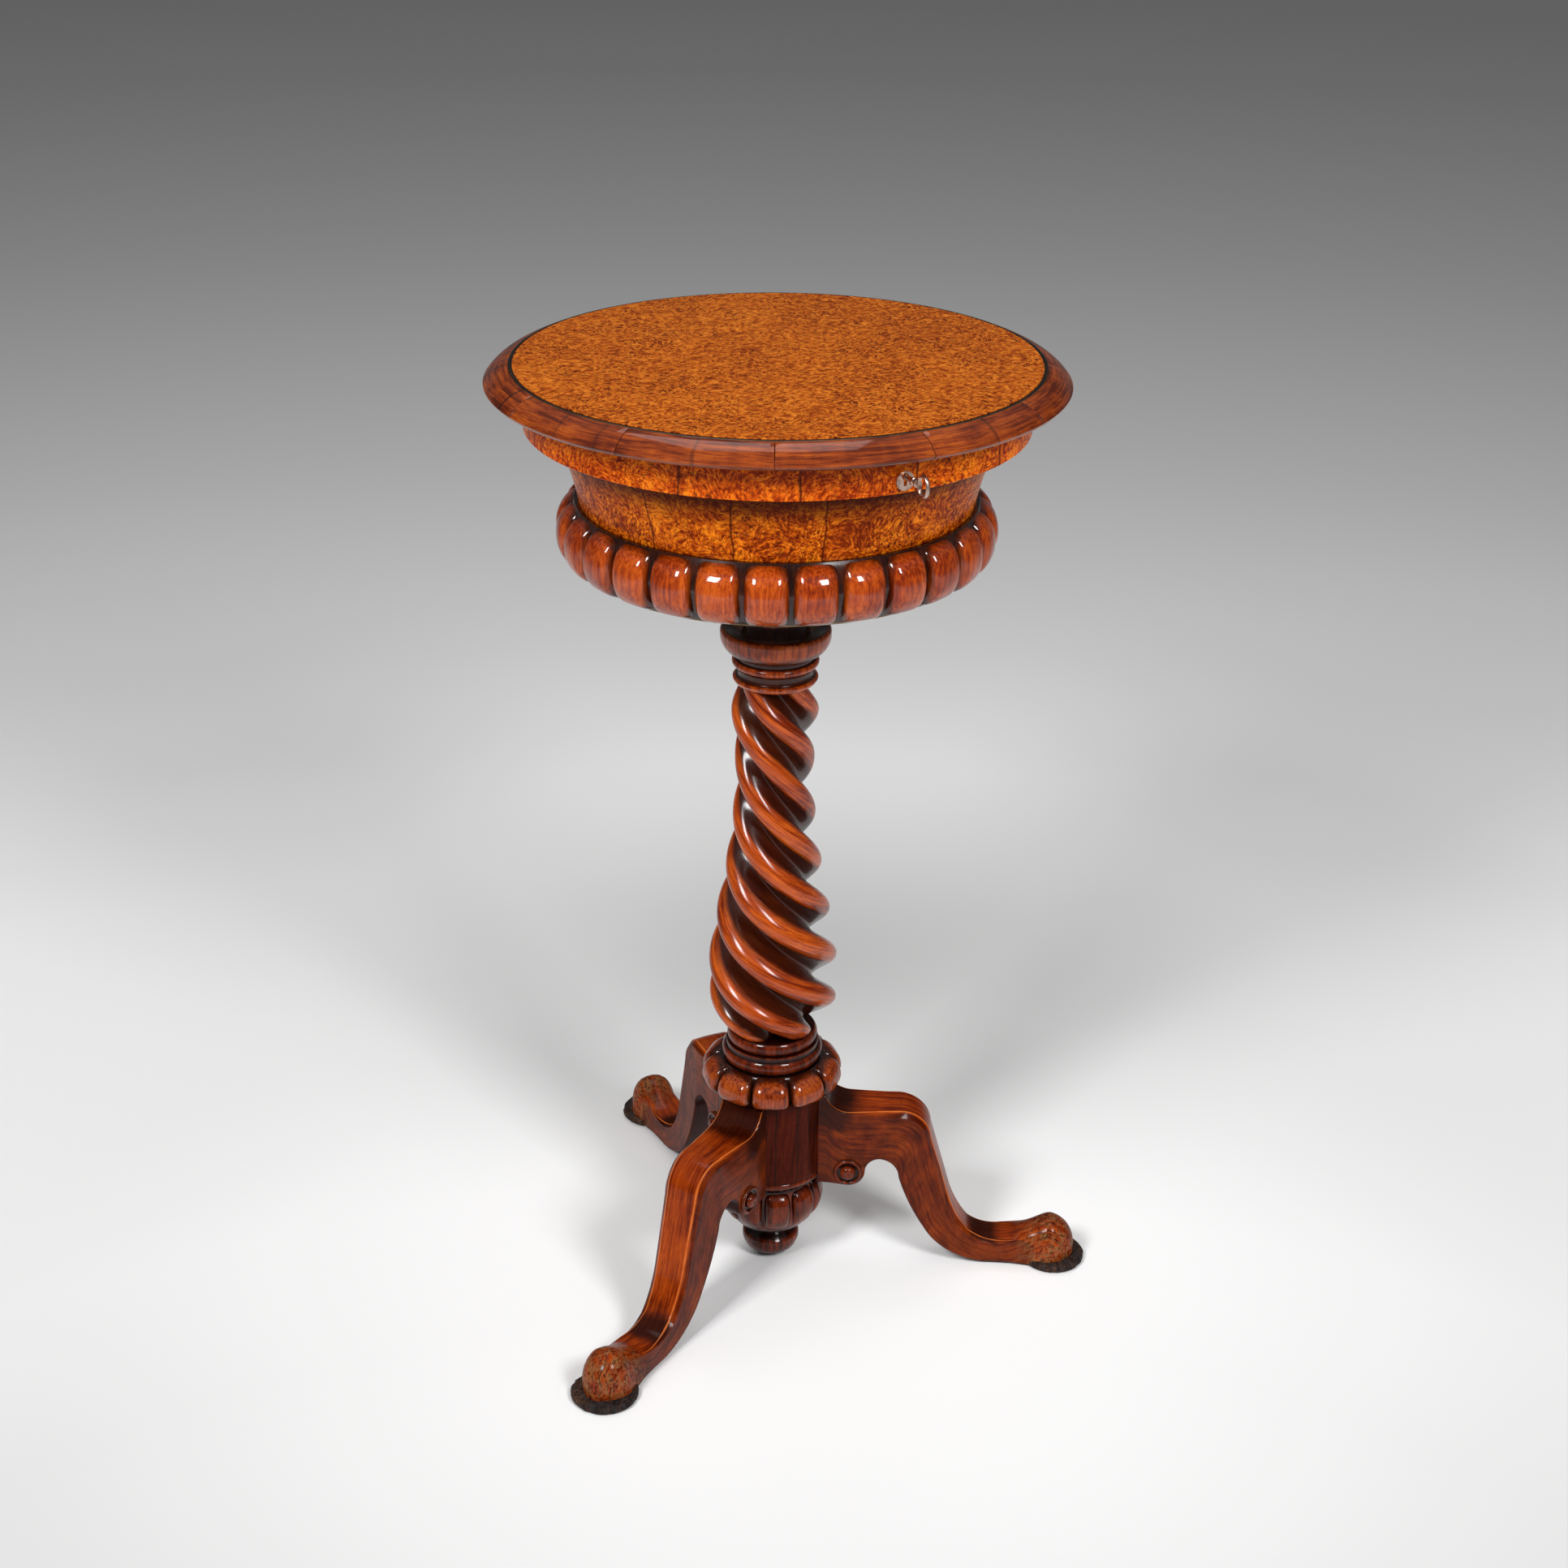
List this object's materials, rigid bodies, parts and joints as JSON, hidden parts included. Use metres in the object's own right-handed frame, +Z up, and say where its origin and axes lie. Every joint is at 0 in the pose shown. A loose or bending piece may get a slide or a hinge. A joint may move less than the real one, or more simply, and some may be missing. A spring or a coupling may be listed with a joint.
{
  "type": "teapoy",
  "caption": "Round lidded tea stand: lift-up veneered lid over a gadrooned bowl box, twisted column and carved tripod of cabriole legs.",
  "frame": {"origin": "centre of the whole outline seen from above, on the floor under the feet", "axes": "+Z up; -Y out of the front, where the lock is; the hinge is at +Y and the back leg points to +Y"},
  "size_m": [0.4714, 0.4879, 0.7808],
  "materials": {
    "walnut": "French polished, deep red-brown",
    "walnut_dark": "French polished, dark with old polish in the hollows",
    "burr_top": "French polished burr veneer, warm orange-brown",
    "burr_side": "French polished burr veneer, bright amber",
    "crossband": "French polished crossbanding",
    "stringing": "dark stained line",
    "carcass_timber": "dry, unpolished inside",
    "toe_timber": "worn dark end grain",
    "brass": "dull old brass",
    "key_metal": "bronzed, tarnished steel",
    "steel": "dull screw steel",
    "glass": "clear, polished"
  },
  "bodies": {
    "stand": {"foot_pad_left": "toe_timber", "foot_pad_right": "toe_timber", "foot_pad_back": "toe_timber", "leg_left": "walnut", "leg_right": "walnut", "leg_back": "walnut", "leg_roundels": "walnut_dark", "hub": "walnut_dark", "pendant": "walnut_dark", "gadroon_collar": "walnut_dark", "pillar": "walnut", "bearer_screws": "steel", "bearer": "walnut_dark", "box_floor": "carcass_timber", "gadroon_ring": "walnut_dark", "waist_carcass": "carcass_timber", "waist_veneer": "burr_side", "shoulder_board": "walnut", "frieze_carcass": "carcass_timber", "frieze_veneer": "burr_side", "hinge_box_leaf_left": "brass", "hinge_box_leaf_right": "brass", "hinge_pins": "brass", "hinge_box_screws": "brass", "lock_case": "steel", "lock_plate": "brass", "lock_screws": "brass", "escutcheon": "key_metal", "caddy_deck": "walnut", "caddy_left": "walnut", "caddy_right": "walnut", "caddy_lid_left": "burr_top", "caddy_lid_right": "burr_top", "caddy_knob_left": "walnut_dark", "caddy_knob_right": "walnut_dark", "bowl_front": "glass", "bowl_back": "glass"},
    "lid": {"lid_board": "carcass_timber", "lid_veneer": "burr_top", "lid_stringing": "stringing", "lid_rim": "crossband", "hinge_lid_leaf_left": "brass", "hinge_lid_leaf_right": "brass", "hinge_lid_screws": "brass", "link_plate": "brass", "link_screws": "brass"},
    "bolt": {"lock_bolt": "steel"},
    "key": {"key": "key_metal"}
  },
  "joints": [
    {"name": "lid_hinge", "type": "hinge", "parent": "stand", "child": "lid", "pos_m": [0, 0.16745, 0.76415], "axis": [-1, 0, 0], "range_deg": [0, 95]},
    {"name": "key_turn", "type": "hinge", "parent": "stand", "child": "key", "pos_m": [0, -0.22395, 0.7465], "axis": [0, 1, 0], "range_deg": [0, 360]},
    {"name": "bolt_slide", "type": "slide", "parent": "stand", "child": "bolt", "axis": [1, 0, 0], "range_m": [0, 0.006]}
  ],
  "couplings": [
    {"joint": "key_turn", "follows": "bolt_slide", "rad_per_m": 1047.2}
  ]
}
